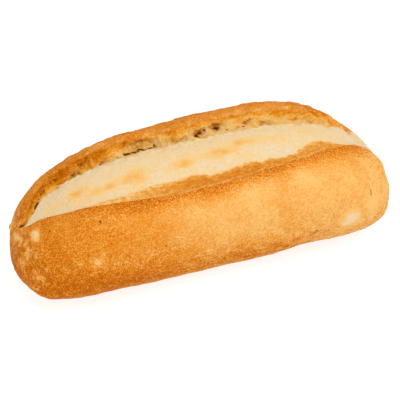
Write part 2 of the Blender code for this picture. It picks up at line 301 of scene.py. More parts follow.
# How fine the crust's grain shows, and where its low parts begin
FINE_SHARE = 0.32
FINE_LEFT, FINE_LOW = (-0.010, -0.058, 0.40), (0.034, 0.014, 0.60)
FINE_RIGHT, FINE_BACK = (0.052, 0.070, 0.95), (-0.004, 0.006, 0.75)
LOW, FOOT, UNDERSIDE = (0.025, 0.008), (0.0105, 0.0045), (0.0065, 0.0012)

# How brown the crust is: the middle of the roll, and what its ends, its low parts and its back add
BROWN_SHARE = 0.14
BROWN_LEFT, LEFT_GAIN = (-0.012, -0.058), 0.58
BROWN_LOW, LOW_GAIN = (0.028, 0.009), 0.56
LIGHT_RIGHT, LOW_RIGHT_LOSS, LOW_LEFT_LOSS = (0.018, 0.060), 0.62, 0.25
BROWN_BACK, BACK_GAIN, BACK_RIGHT_LOSS = (-0.006, 0.020), 0.50, 0.10
BACK_END = (0.056, 0.074, 0.5)
BACK_TOP = (30.0, 60.0, 0.12)  # in degrees from +Y over the top
BACK_WAVES = ((0.005, 0.012, 57.0),)

# A brown and a light stretch of the front: middle along X, half length, strength and then the angles
# between which they begin and end
BROWN_STRETCH, LIGHT_STRETCH = (-0.030, 0.018, 0.10), (-0.046, 0.016, 0.18)
BROWN_STRETCH_TOP, BROWN_STRETCH_FOOT = (124.0, 150.0), (270.0, 230.0)
LIGHT_STRETCH_FOOT = (156.0, 130.0)

# Where the crust's brown is uneven, and the noise there
MOTTLED_UP, MOTTLED_ALONG = (0.030, 0.016), (0.004, 0.030)
MOTTLED_TONES = ((0.30, 0.004, 101.0),)
BLOTCHED_ALONG, BLOTCHED_BACK, BLOTCHED_GAIN = (0.036, 0.050), (-0.002, 0.006), 0.10
BLOTCHED_TONES = ((0.42, 0.0048, 67.0), (0.30, 0.0022, 69.0))
LEFT_TIP, LEFT_TIP_LOSS = (-0.069, -0.075), 0.12
LEFT_TIP_TONES = ((0.50, 0.003, 91.0), (0.50, 0.0014, 93.0))
RIGHT_END = (0.056, 0.070)
RIGHT_END_TONES = ((0.16, 0.0036, 95.0), (0.12, 0.0016, 99.0))
CRUST_TONES = ((0.12, 0.016, 53.0), (0.07, 0.0065, 59.0))

# Rows round the roll in each zone, from the middle of the base over the back to the front
ZONES = ("base", "back", "wall", "groove", "band", "ledge", "step", "front", "under")
ROW_COUNTS = (10, 52, 32, 10, 32, 10, 4, 64, 10)
BASE_MIDDLE, BACK_FOOT, FRONT_FOOT = -90.0, -38.0, 218.0  # angles, in degrees from +Y over the top
EVEN_ROWS = {"crest": 62.0, "crevice": 80.0, "ledge": 112.0, "step": 124.0, "lip": 130.0}
EVEN_STATIONS = (0.95, 0.998)  # between these the rows spread out evenly towards the tips
RINGS = 430
RING_FOCUS = 0.12  # draws the rings from the ends to the middle

# The camera, from the photograph's outline
PHOTO_PIXELS = 400.0
VIEW_AZIMUTH = math.radians(-22.95)
VIEW_ELEVATION = math.radians(36.0)
VIEW_DISTANCE = 0.520
LENS_PIXELS = 1281.5
TARGET_PIXEL = (199.5, 188.7)
SENSOR = 36.0
LIGHT_GAIN = 1.30  # how much brighter a surface renders than its own colour
GLEAM = 0.003  # and how much white its faint gloss adds


def smooth(low, high, value):
    """0 at low, 1 at high, and a soft turn between them."""
    share = np.clip((value - low) / (high - low), 0.0, 1.0)
    return share * share * (3.0 - 2.0 * share)


def by_end(station, pair):
    """The left or the right value of a pair."""
    return np.where(station < 0, pair[0], pair[1])


def bell(value, middle, half):
    """1 at the middle and falling to about a third at half away."""
    return np.exp(-np.abs((value - middle) / half) ** 2.0)


def field(points, size, seed=0.0):
    """Smooth noise from about -1 to 1 at each point, with waves of about this size."""
    flat = points.reshape(-1, 3) / size + seed
    values = np.fromiter((noise.noise(Vector(point)) for point in flat), float, len(flat))
    return values.reshape(points.shape[:-1])


def grown(look, value):
    """The strength of a look, which begins at its first number and is full at its second."""
    begin, full, strength = look
    return strength * smooth(begin, full, value)


def roughened(start, points, waves):
    """The start values, with noise of each height, wavelength and seed added."""
    for height, size, seed in waves:
        start = start + height * field(points, size, seed)
    return start


# The plain loaf


def half_width(station):
    gain = 1.0 + WIDTH_GAIN[0] * station + WIDTH_GAIN[1] * station**2
    return 0.5 * WIDTH * gain * np.sqrt(1.0 - np.abs(station) ** by_end(station, PLAN_BLUNTNESS))


def levels(station):
    """Heights of a section's foot, widest level and top."""
    tip = by_end(station, END_LIFT)
    full = HEIGHT * (1.0 + HEIGHT_GAIN[0] * station + HEIGHT_GAIN[1] * station**2)
    top = tip + (full - tip) * np.sqrt(1.0 - np.abs(station) ** by_end(station, TOP_BLUNTNESS))
    foot = tip * (1.0 - np.sqrt(1.0 - np.abs(station) ** BASE_BLUNTNESS))
    return foot, foot + GIRTH_LEVEL * (top - foot), top


def angle_at(station, side):
    """The section's angle, from +Y over the top, where it lies at that Y from the section's middle."""
    reach = np.clip(np.abs(side) / half_width(station), 1e-6, 0.999)
    rise = (reach**-SHOULDER - 1.0) ** (1.0 / SHOULDER)
    return np.arctan2(rise, np.sign(side))


def plain_points(station, angle):
    """Points of the loaf before it is slashed."""
    foot, girth, top = levels(station)
    across, up = np.cos(angle), np.sin(angle)
    power = np.where(up >= 0.0, SHOULDER, BELLY)
    radius = (np.abs(across) ** power + np.abs(up) ** power) ** (-1.0 / power)
    sink = BASE_SINK * (1.0 - np.abs(station) ** 4)
    reach = np.where(up >= 0.0, top - girth, girth - foot + sink)
    x = 0.5 * LENGTH * station + 0.0 * angle
    y = BEND * station**2 + half_width(station) * radius * across
    z = girth + reach * radius * up
    return np.stack([x, y, z], axis=-1)


def outward_normals(points):
    """Unit normals of a closed loft, from its own rings and rows."""
    along = np.gradient(points, axis=0)
    around = np.roll(points, -1, axis=1) - np.roll(points, 1, axis=1)
    normals = np.cross(along, around)
    normals /= np.linalg.norm(normals, axis=-1, keepdims=True) + 1e-12
    core = points.mean(axis=1, keepdims=True)
    inward = np.sum(normals * (points - core)) < 0.0
    return -normals if inward else normals


# The slash


def slash_opening(station):
    """How far the slash is open: 0 at its two points, 1 over most of its length."""
    left = smooth(SLASH_START, SLASH_OPEN[0], station)
    return np.sqrt(left * (1.0 - smooth(SLASH_OPEN[1], SLASH_END, station)))


def slash_depth(station):
    """The share of its full depth that the slash has at a station."""
    left = smooth(SLASH_START, SLASH_DEEP[0], station)
    return left * (1.0 - smooth(SLASH_DEEP[1], SLASH_SHALLOW, station))


def wander(station, waves):
    """How far a torn edge strays along the roll, in metres."""
    x = 0.5 * LENGTH * station.ravel()
    points = np.stack([x, 0.0 * x, 0.0 * x], axis=-1)
    return roughened(0.0, points, waves).reshape(station.shape)


def slash_lines(station):
    """Y of the front lip, the crevice and the torn wall's top edge, from the section's middle."""
    share = np.minimum(np.abs(station) / by_end(station, LIP_SPAN), 1.0)
    lip = -LIP_REACH * (1.0 - share ** by_end(station, LIP_TAPER))
    swing = TAIL_SWING * smooth(*SLASH_TAIL, station)
    crevice = CREVICE_REACH + CREVICE_DRIFT * station - swing
    crest = CREST_REACH + CREST_DRIFT * station - swing
    opening = slash_opening(station)
    middle = 0.5 * lip
    lip = middle + (lip - middle) * opening
    crest = crevice + (crest - crevice) * (SHUT_WALL + (1.0 - SHUT_WALL) * opening)
    closing = (middle - crevice) * (1.0 - opening)
    lip = lip + wander(station, LIP_WAVES)
    crevice = crevice + closing + wander(station, CREVICE_WAVES) * opening
    crest = crest + closing + wander(station, CREST_WAVES) * opening
    return lip, crevice, crest


def row_table(station):
    """Angles of all rows on all rings, the zone of each row, and its share of the way through it."""
    lip, crevice, crest = slash_lines(station)
    shrink = half_width(station) / half_width(np.zeros(1))
    lines = {
        "lip": angle_at(station, lip),
        "step": angle_at(station, lip + LIP_RUN * slash_opening(station) * shrink),
        "ledge": angle_at(station, lip + LEDGE_RUN * slash_opening(station) * shrink),
        "crevice": angle_at(station, crevice),
        "crest": angle_at(station, crest),
    }
    # Near the two tips the rows spread out evenly again.
    spread = smooth(*EVEN_STATIONS, np.abs(station))
    for name, degrees in EVEN_ROWS.items():
        lines[name] = (1.0 - spread) * lines[name] + spread * math.radians(degrees)
    groove = lines["crevice"] + GROOVE_SHARE * (lines["ledge"] - lines["crevice"])
    base_middle, back_foot, front_foot, base_again = (
        np.full_like(station, math.radians(degrees))
        for degrees in (BASE_MIDDLE, BACK_FOOT, FRONT_FOOT, BASE_MIDDLE + 360.0)
    )
    edges = (
        base_middle, back_foot, lines["crest"], lines["crevice"], groove,
        lines["ledge"], lines["step"], lines["lip"], front_foot, base_again,
    )
    angles, zones, shares = [], [], []
    for index, (zone, count) in enumerate(zip(ZONES, ROW_COUNTS)):
        for step in range(count):
            share = step / count
            angles.append(edges[index] + share * (edges[index + 1] - edges[index]))
            zones.append(zone)
            shares.append(share)
    return np.stack(angles, axis=1), np.array(zones), np.array(shares)


def slash_relief(zones, shares, depth):
    """How far each point stands out from the plain loaf, in metres."""
    low = -BAND_SINK
    unit = np.zeros(len(shares))
    share = {zone: shares[zones == zone] for zone in ZONES}
    unit[zones == "back"] = CREST_SWELL * smooth(CREST_FROM, 1.0, share["back"])
    unit[zones == "wall"] = CREST_SWELL - (CREST_SWELL + GROOVE_DEPTH) * share["wall"] ** WALL_CURVE
    climb = smooth(0.0, GROOVE_TURN, share["groove"])
    unit[zones == "groove"] = -GROOVE_DEPTH + (GROOVE_DEPTH + low) * climb
    arch = np.sin(math.pi * (BAND_START + (1.0 - BAND_START) * share["band"]))
    unit[zones == "band"] = low + BAND_SWELL * arch
    unit[zones == "ledge"] = low + (BAND_SINK - LIP_STEP) * share["ledge"]
    unit[zones == "step"] = -LIP_STEP * (1.0 - smooth(0.0, 1.0, share["step"]))
    unit[zones == "front"] = LIP_SWELL * (1.0 - smooth(0.0, LIP_FADE, share["front"]))
    return unit[None, :] * depth


def row_distance(points, row):
    """Distance of each point from one row, along its own ring: positive against the rows' order."""
    steps = np.linalg.norm(np.diff(points, axis=1), axis=-1)
    run = np.concatenate([np.zeros((len(points), 1)), np.cumsum(steps, axis=1)], axis=1)
    return run[:, row:row + 1] - run


def carve_hollows(points, zones, shares, depth):
    """Pushes the hollows into the torn wall, raises the strands, and masks where painted shade and scorch
    go.
    """
    wall = np.where(zones == "wall", shares, np.where(zones == "groove", 1.0 + shares, -1.0))[None, :]
    on_wall = wall >= 0.0
    # The hollows and pores are as ragged as the dough that tore.
    x = roughened(points[..., 0], points, HOLLOW_WAVES)
    level = roughened(wall, points, LEVEL_WAVES)
    hollow = np.zeros_like(x)
    for middle, half_length, place, half_span, push in HOLLOWS:
        away = ((x - middle) / half_length) ** 2 + ((level - place) / half_span) ** 2
        mask = np.exp(-away**HOLLOW_EDGE) * on_wall
        points[..., 1] += mask * push * depth
        points[..., 2] -= mask * HOLLOW_DROP * push * depth
        # The deeper the hollow, the stronger the painted shade in its colour.
        hollow = np.maximum(hollow, mask * min(1.0, push / HOLLOW_FULL))
    pore_and_shade = np.zeros_like(x)
    # A pore's darkness is scorch, and painted shade where it marks a deep crevice.
    for middle, half_length, place, half_span, darkness in PORES_AND_SHADE:
        mask = bell(x, middle, half_length) * bell(level, place, half_span) * on_wall
        points[..., 1] += mask * PORE_PUSH * depth
        points[..., 2] -= mask * PORE_DROP * depth
        pore_and_shade = np.maximum(pore_and_shade, mask * darkness)
    for middle, half_width_x, height in STRANDS:
        mask = bell(points[..., 0], middle, half_width_x) * bell(wall, STRAND_MIDDLE, STRAND_SPAN) * on_wall
        points[..., 2] += mask * height * depth
        points[..., 1] -= mask * STRAND_LEAN * height * depth
        hollow *= 1.0 - STRAND_COVER * mask
        pore_and_shade *= 1.0 - STRAND_COVER * mask
    return hollow, pore_and_shade


def flat_below(height):
    """Heights with everything below the table laid on it, and a soft turn from there to the side."""
    turn = (height + BASE_ROUND) ** 2 / (4.0 * BASE_ROUND)
    return np.where(height < -BASE_ROUND, 0.0, np.where(height < BASE_ROUND, turn, height))


def crust_relief(points, zones, shares, angle, depth):
    """Blisters, wrinkles and crags of the baked surface, in metres."""
    relief = BROAD_HEIGHT * field(points, BROAD_SIZE)
    around = np.degrees(angle)
    for x, degrees, half_length, half_angle, height in SWELLINGS:
        relief += height * bell(points[..., 0], x, half_length) * bell(around, degrees, half_angle)
    for place, reach, height in LUMPS:
        relief += height * spot(points, place, reach)
    torn = np.isin(zones, ("wall", "groove"))[None, :] * depth
    crest = (zones == "back")[None, :] * smooth(CRUMBLY_CREST, 1.0, shares)[None, :] * depth
    band = np.isin(zones, ("band", "ledge", "step"))[None, :] * depth
    shaggy = (zones == "band")[None, :] * smooth(*SHAGGY_BAND, shares)[None, :] * depth
    crust = 1.0 - torn - band
    waves = [field(points, *wave) for wave in (MIDDLE_WAVE, FINE_WAVE, FINEST_WAVE)]
    waves.append(1.0 - 2.0 * np.abs(field(points * FIBRE_DRAW, *FIBRE_WAVE)))
    for surface, heights in (
        (torn, TORN_RELIEF), (crest, CREST_RELIEF), (crust, CRUST_RELIEF),
        (band, BAND_RELIEF), (shaggy, SHAGGY_RELIEF),
    ):
        relief += surface * sum(height * wave for height, wave in zip(heights, waves))
    wrinkles = field(points * WRINKLE_DRAW, *WRINKLE_WAVE)
    relief += crust * smooth(*WRINKLED, points[..., 2]) * WRINKLE_HEIGHT * wrinkles
    return relief


def loft_faces(rings, rows):
    """Quads between the rings, and a fan of triangles round each tip, whose points come last."""
    faces = []
    for ring in range(rings - 1):
        for row in range(rows):
            after = (row + 1) % rows
            here, there = ring * rows, (ring + 1) * rows
            faces.append((here + row, here + after, there + after, there + row))
    left_tip, right_tip = rings * rows, rings * rows + 1
    last = (rings - 1) * rows
    for row in range(rows):
        after = (row + 1) % rows
        faces.append((left_tip, after, row))
        faces.append((right_tip, last + row, last + after))
    return faces


# What lies where, as masks from 0 to 1


def spot(points, place, reach):
    """A round mark on the surface near a place."""
    away = np.linalg.norm((points - place) / reach, axis=-1)
    return np.exp(-away**3)


def strayed(points, reach):
    """The points moved by noise, at most this far, so that marks placed by them come out uneven."""
    moves = [field(points, STRAY_SIZE, seed) for seed in STRAY_SEEDS]
    return points + reach * np.stack(moves, axis=-1)


def torn_masks(points, zones, shares, opening):
    """Where the torn wall shows, how much crumb shows on it, and the groove's crumb warmed as painted
    bounce light.
    """
    x = points[..., 0]
    wall, groove, share = (zones == "wall")[None, :], (zones == "groove")[None, :], shares[None, :]
    open_enough = smooth(*TORN_OPENING, opening) * (1.0 - smooth(*TORN_END, x))
    # The groove takes the torn wall's crumb colour, warmed as painted light bounced between the orange
    # walls.
    groove_crumb_and_bounce = groove * (1.0 - smooth(*GROOVE_WARM_SPAN, share))
    torn = np.maximum(wall * smooth(*TORN_TOP, share), groove_crumb_and_bounce) * open_enough
    tear = np.maximum(wall * share, groove * (1.0 - GROOVE_WARMING * share))
    # Towards the left the wall stays brown down to its foot, where a pale strip of crumb shows.
    browned = smooth(*WALL_BROWN, x)
    tear = (1.0 - browned) * tear + browned * BROWN_FOOT * tear**BROWN_FOOT_LATE
    return {"torn": torn, "tear": tear + roughened(0.0, points, TORN_TONES) * torn}


def band_masks(points, zones, shares, opening, lip_distance):
    """The pale band with its dusty streak, and the browned ledge along its front."""
    x, y, z = np.moveaxis(points, -1, 0)
    zone_of, share_of = zones[None, :], shares[None, :]
    burst = np.isin(zone_of, ("band", "ledge", "step", "groove")) * 1.0
    # Past the end of the tear the skin runs on pale over what is left of the wall.
    skin = smooth(*SKIN_OVER_WALL, x + SKIN_LEAN * (share_of - 0.5))
    burst = np.maximum(burst, (zone_of == "wall") * skin)
    ragged = roughened(0.0, points, MARGIN_WAVES)
    # At the right the burst skin fans out over the shoulder of the end.
    fan = np.hypot(
        (x + FAN_LEAN * y + ragged - FAN_MIDDLE[0]) / FAN_REACH[0],
        (y - FAN_MIDDLE[1]) / FAN_REACH[1],
    )
    fan = smooth(*FAN_EDGE, fan) * smooth(*FAN_UP, z) * (zone_of != "front")
    bared = opening + grown(PALE_TIP, x) + PALE_RAGGED * ragged
    pale = np.maximum(burst * smooth(*PALE_OPENING, bared), fan)
    across = (lip_distance + LEDGE_RAGGED * ragged) / np.interp(x, LEDGE_X, LEDGE_WIDTH)
    ledge = burst * (1.0 - smooth(*LEDGE_EDGE, across)) * np.interp(x, LEDGE_X, LEDGE_BROWN)
    ledge *= smooth(*LEDGE_OPENING, opening)
    dusty = burst * bell(across, DUSTY_MIDDLE, DUSTY_HALF) * (1.0 - smooth(*DUSTY_END, x))
    dusty = np.maximum(dusty, burst * np.maximum(bell(x, *DUSTY_RIGHT), grown(DUSTY_LEFT, x)))
    return {"pale": pale, "dusty": dusty, "ledge": ledge}


def lip_masks(points, opening, lip_distance):
    """The dark rim in front of the lip, and a painted highlight along it."""
    x = points[..., 0]
    rim_along = smooth(*RIM_LEFT, x) * (1.0 - grown(RIM_RIGHT, x)) * smooth(*RIM_OPENING, opening)
    rim_width = roughened(RIM_WIDTH, points, RIM_WAVES) + grown(RIM_WIDER, x)
    in_front = np.clip(-lip_distance, 0.0, None)
    rim = np.where(lip_distance <= 0.0, np.exp(-(in_front / rim_width) ** 2), 0.0) * rim_along
    highlight_along = smooth(*HIGHLIGHT_LEFT, x) * (1.0 - smooth(*HIGHLIGHT_RIGHT, x))
    lip_highlight = bell(roughened(lip_distance, points, HIGHLIGHT_WAVES), HIGHLIGHT_MIDDLE, HIGHLIGHT_HALF) * highlight_along
    return {"rim": rim, "lip_highlight": lip_highlight}


def surface_masks(points, zones, shares, angle, station, lip_distance):
    """How pale, torn, browned, warm, baked and floury each point is."""
    x, y, z = np.moveaxis(points, -1, 0)
    opening = slash_opening(station)
    fine = FINE_SHARE + grown(FINE_LEFT, x) + grown(FINE_LOW, z)
    fine = np.maximum(fine, np.maximum(grown(FINE_RIGHT, x), grown(FINE_BACK, y)))
    moved = strayed(points, SPECK_STRAY)
    return {
        **torn_masks(points, zones, shares, opening),
        **band_masks(points, zones, shares, opening, lip_distance),
        **lip_masks(points, opening, lip_distance),
        "bake": bake_map(points, angle),
        "warm": warm_patches(points),
        "flour": flour_spots(points),
        "speck": np.max([spot(moved, place, reach) for place, reach in SPECKS], axis=0),
        "fine": fine,
        "low": smooth(*LOW, z),
        "foot": smooth(*FOOT, z),
        "underside": smooth(*UNDERSIDE, z),
    }


def bake_map(points, angle):
    """How brown the crust is over broad stretches."""
    x, y, z = np.moveaxis(points, -1, 0)
    degrees = np.degrees(angle)
    left, right, low = smooth(*BROWN_LEFT, x), smooth(*LIGHT_RIGHT, x), smooth(*BROWN_LOW, z)
    bake = BROWN_SHARE + LEFT_GAIN * left
    bake = bake + (LOW_GAIN - LOW_RIGHT_LOSS * right) * low * (1.0 - LOW_LEFT_LOSS * left)
    mottled = smooth(*MOTTLED_UP, z) * smooth(*MOTTLED_ALONG, x)
    bake += mottled * roughened(0.0, points, MOTTLED_TONES)
    middle, half, gain = BROWN_STRETCH
    on_front = smooth(*BROWN_STRETCH_TOP, degrees) * smooth(*BROWN_STRETCH_FOOT, degrees)
    bake += gain * bell(x, middle, half) * on_front
    middle, half, loss = LIGHT_STRETCH
    bake -= loss * bell(x, middle, half) * smooth(*LIGHT_STRETCH_FOOT, degrees)
    back = smooth(*BROWN_BACK, roughened(y, points, BACK_WAVES)) * (1.0 - grown(BACK_END, x))
    back_brown = BACK_GAIN + grown(BACK_TOP, degrees) - BACK_RIGHT_LOSS * right
    bake = (1.0 - back) * bake + back * back_brown
    blotched = smooth(*BLOTCHED_ALONG, x) * smooth(*BLOTCHED_BACK, y)
    bake += blotched * roughened(BLOTCHED_GAIN, points, BLOTCHED_TONES)
    # The dough was folded at the left tip, which leaves light and dark streaks.
    bake += smooth(*LEFT_TIP, x) * (roughened(0.0, points, LEFT_TIP_TONES) - LEFT_TIP_LOSS)
    bake += smooth(*RIGHT_END, x) * roughened(0.0, points, RIGHT_END_TONES)
    return roughened(bake, points, CRUST_TONES)


def warm_patches(points):
    """Where the pale band has taken colour."""
    x, y = points[..., 0], points[..., 1]
    warm = 0.0 * x
    for middle_x, middle_y, half_x, half_y, strength in WARM_PATCHES:
        warm += strength * bell(x, middle_x, half_x) * bell(y, middle_y, half_y)
    middle, half, gain = WARM_MIDDLE
    warm = warm * roughened(WARM_GAIN, points, WARM_TONES) + gain * bell(x, middle, half)
    return np.clip(warm, 0.0, 1.0)


def flour_spots(points):
    """Where flour or undercoloured skin shows on the crust."""
    points = strayed(points, FLOUR_STRAY)
    flour = grown(DUSTED_TIP, points[..., 0]) * smooth(*DUSTED_UP, points[..., 2])
    for place, reach, strength in FLOUR_MARKS:
        flour = np.maximum(flour, strength * spot(points, place, reach))
    return flour


def build_roll():
    """The roll's mesh, with its masks."""
    turn = np.linspace(0.0, math.pi, RINGS + 2)[1:-1]
    station = -np.cos(turn + RING_FOCUS * np.sin(2.0 * turn))[:, None]
    angle, zones, shares = row_table(station[:, 0])
    plain = plain_points(station, angle)
    normals = outward_normals(plain)
    depth = slash_depth(station)
    points = plain + normals * slash_relief(zones, shares, depth)[..., None]
    hollow, pore_and_shade = carve_hollows(points, zones, shares, depth)
    lip_row = int(np.argmax(zones == "front"))
    lip_distance = row_distance(plain, lip_row)
    points += normals * crust_relief(points, zones, shares, angle, depth)[..., None]
    points[..., 2] = flat_below(points[..., 2])
    masks = surface_masks(points, zones, shares, angle, station, lip_distance)
    masks["hollow"] = hollow
    masks["pore_and_shade"] = pore_and_shade
    return points, masks


def make_mesh(name, points, masks):
    rings, rows = points.shape[:2]
    left = points[0].mean(axis=0)
    right = points[-1].mean(axis=0)
    left[0] = -0.5 * LENGTH
    right[0] = 0.5 * LENGTH
    vertices = np.concatenate([points.reshape(-1, 3), left[None, :], right[None, :]])
    mesh = bpy.data.meshes.new(name)
    mesh.from_pydata(vertices.tolist(), [], loft_faces(rings, rows))
    mesh.shade_smooth()
    for mask_name, values in masks.items():
        values = np.clip(np.broadcast_to(values, (rings, rows)), 0.0, 1.0)
        column = np.concatenate([values.ravel(), [values[0].mean(), values[-1].mean()]])
        attribute = mesh.attributes.new(mask_name, "FLOAT", "POINT")
        attribute.data.foreach_set("value", column.astype(np.float32))
    return mesh


# The crust's material


def linear(level):
    """One sRGB level, 0 to 255, as linear light."""
    share = level / 255.0
    return share / 12.92 if share <= 0.04045 else ((share + 0.055) / 1.055) ** 2.4


def seen(red, green, blue):
    """The base colour that looks like these sRGB levels under this scene's light."""
    return tuple(max(linear(level) - GLEAM, 0.002) / LIGHT_GAIN for level in (red, green, blue)) + (1.0,)


class Nodes:
    """Adds nodes to a material's tree and links them."""

    def __init__(self, material):
        self.tree = material.node_tree
        self.where = self.add("ShaderNodeTexCoord").outputs["Object"]

    def add(self, kind, **settings):
        node = self.tree.nodes.new(kind)
        for name, value in settings.items():
            setattr(node, name, value)
        return node

    def feed(self, socket, value):
        if isinstance(value, bpy.types.NodeSocket):
            self.tree.links.new(value, socket)
        else:
            socket.default_value = value

    def mask(self, name):
        return self.add("ShaderNodeAttribute", attribute_name=name).outputs["Fac"]

    def noise(self, scale, detail=2.0, roughness=0.5, distortion=0.0, along=1.0):
        """Noise on the surface; a small number for along draws it out along X."""
        stretch = self.add("ShaderNodeVectorMath", operation="MULTIPLY")
        self.feed(stretch.inputs[0], self.where)
        stretch.inputs[1].default_value = (along, 1.0, 1.0)
        node = self.add("ShaderNodeTexNoise")
        self.feed(node.inputs["Vector"], stretch.outputs["Vector"])
        node.inputs["Scale"].default_value = scale
        node.inputs["Detail"].default_value = detail
        node.inputs["Roughness"].default_value = roughness
        node.inputs["Distortion"].default_value = distortion
        return node.outputs["Fac"]

    def cells(self, scale):
        node = self.add("ShaderNodeTexVoronoi")
        self.feed(node.inputs["Vector"], self.where)
        node.inputs["Scale"].default_value = scale
        return node.outputs["Distance"]

    def math(self, operation, first, second=0.0, third=0.0, clamp=False):
        node = self.add("ShaderNodeMath", operation=operation, use_clamp=clamp)
        for socket, value in zip(node.inputs, (first, second, third)):
            self.feed(socket, value)
        return node.outputs[0]

    def plus(self, first, second, clamp=False):
        return self.math("ADD", first, second, clamp=clamp)

    def minus(self, first, second):
        return self.math("SUBTRACT", first, second)

    def times(self, first, second, clamp=False):
        return self.math("MULTIPLY", first, second, clamp=clamp)

    def scaled(self, value, gain, offset, clamp=False):
        """A value times a gain, plus an offset."""
        return self.math("MULTIPLY_ADD", value, gain, offset, clamp=clamp)

    def around(self, value, gain, centre=0.5):
        """How far a value lies from a centre, times a gain."""
        return self.times(self.minus(value, centre), gain)

    def step(self, value, low, high):
        node = self.add("ShaderNodeMapRange", interpolation_type="SMOOTHSTEP")
        self.feed(node.inputs["Value"], value)
        node.inputs["From Min"].default_value = low
        node.inputs["From Max"].default_value = high
        return node.outputs["Result"]

    def mix(self, share, first, second):
        """The first colour, and the second where the share is 1."""
        node = self.add("ShaderNodeMix", data_type="RGBA")
        self.feed(node.inputs[0], share)
        self.feed(node.inputs[6], first)
        self.feed(node.inputs[7], second)
        return node.outputs[2]

    def ramp(self, value, *stops):
        """Colours by value, from stops of a position and three sRGB levels."""
        node = self.add("ShaderNodeValToRGB")
        self.feed(node.inputs["Fac"], value)
        marks = node.color_ramp.elements
        while len(marks) < len(stops):
            marks.new(0.5)
        for mark, (position, *levels) in zip(marks, stops):
            mark.position = position
            mark.color = seen(*levels)
        return node.outputs["Color"]


def crust_colour(nodes):
    """Baked crust, from light gold to dark brown, with its fine mottling, light flecks and wrinkles."""
    baked, fine, low = nodes.mask("bake"), nodes.mask("fine"), nodes.mask("low")
    broad = nodes.around(nodes.noise(90.0, detail=3.0), 0.28)
    mottle = nodes.around(nodes.noise(460.0, detail=3.0, roughness=0.6), 0.46)
    grain = nodes.around(nodes.noise(2000.0, roughness=0.6), 1.80)
    coarse = nodes.around(nodes.noise(1050.0, roughness=0.6), 1.30)
    texture = nodes.plus(nodes.plus(mottle, grain), nodes.times(coarse, low))
    texture = nodes.times(texture, nodes.scaled(fine, 1.35, 0.15))

    flecks = nodes.step(nodes.cells(1250.0), 0.36, 0.12)
    flecks = nodes.times(flecks, nodes.step(nodes.noise(260.0), 0.40, 0.58))
    veins = nodes.noise(330.0, roughness=0.55, distortion=0.4, along=0.55)
    veins = nodes.step(nodes.math("ABSOLUTE", nodes.minus(veins, 0.5)), 0.036, 0.006)
    light = nodes.scaled(veins, nodes.scaled(fine, 0.90, 0.05), flecks)
    folds = nodes.noise(900.0, detail=3.0, roughness=0.6, distortion=0.5, along=0.25)
    folds = nodes.times(nodes.around(folds, 1.6, centre=0.51), low)

    bake = nodes.plus(nodes.plus(baked, broad), nodes.plus(texture, folds))
    bake = nodes.minus(bake, nodes.times(light, 0.26))
    bake = nodes.minus(bake, nodes.times(nodes.mask("flour"), 1.1))
    rim = nodes.times(nodes.mask("rim"), nodes.scaled(grain, 1.2, 0.62))
    crust = nodes.ramp(
        nodes.plus(bake, rim, clamp=True),
        (0.00, 258, 200, 116), (0.22, 249, 172, 80), (0.48, 241, 151, 50),
        (0.74, 228, 129, 22), (1.00, 198, 101, 6),
    )
    pale_dough = nodes.scaled(baked, -1.35, 1.0, clamp=True)
    light = nodes.times(light, nodes.times(nodes.times(fine, 0.28), pale_dough), clamp=True)
    return nodes.mix(light, crust, seen(255, 212, 148))


def band_colour(nodes):
    """The pale burst band, its warmer patches and its floury streaks."""
    warm = nodes.mask("warm")
    patches = nodes.around(nodes.noise(170.0, detail=3.0), 0.85)
    pale = nodes.ramp(
        nodes.plus(warm, patches, clamp=True),
        (0.00, 247, 216, 166), (0.25, 252, 212, 146), (0.60, 253, 198, 116),
        (1.00, 246, 176, 82),
    )
    streaks = nodes.noise(760.0, detail=3.0, roughness=0.65, along=0.5)
    streaks = nodes.scaled(nodes.mask("dusty"), 0.10, streaks)
    streaks = nodes.scaled(warm, -0.16, streaks)
    streaks = nodes.times(nodes.step(streaks, 0.52, 0.70), 0.8)
    pale = nodes.mix(streaks, pale, seen(240, 222, 192))
    grain = nodes.noise(1500.0, roughness=0.6)
    grain = nodes.times(nodes.step(grain, 0.52, 0.74), 0.7)
    return nodes.mix(grain, pale, seen(226, 190, 138))


def ledge_colour(nodes, ledge):
    """The browned ledge inside the lip, darker where its mask is stronger."""
    fibres = nodes.noise(1100.0, detail=3.0, roughness=0.7, along=0.5)
    return nodes.ramp(
        nodes.scaled(ledge, 0.82, nodes.around(fibres, 1.7)),
        (0.15, 251, 204, 132), (0.42, 242, 174, 84), (0.72, 229, 146, 50),
        (1.00, 214, 124, 32),
    )


def torn_colour(nodes):
    """The torn wall, from toasted at its top to crumb at its foot, with fibres and small pits of painted
    shade.
    """
    fibres = nodes.noise(700.0, detail=4.0, roughness=0.65, distortion=0.3, along=0.4)
    grain = nodes.noise(1700.0, roughness=0.6)
    level = nodes.plus(nodes.mask("tear"), nodes.around(fibres, 1.1))
    colour = nodes.ramp(
        nodes.plus(level, nodes.around(grain, 0.9), clamp=True),
        (0.00, 196, 104, 8), (0.25, 234, 142, 26), (0.50, 252, 176, 70),
        (0.75, 255, 201, 112), (1.00, 246, 203, 132),
    )
    # Small pits in the crumb, darkened as painted shade.
    pits = nodes.times(nodes.step(fibres, 0.42, 0.30), nodes.step(grain, 0.50, 0.36))
    return nodes.mix(nodes.times(pits, 0.65), colour, seen(156, 96, 32))


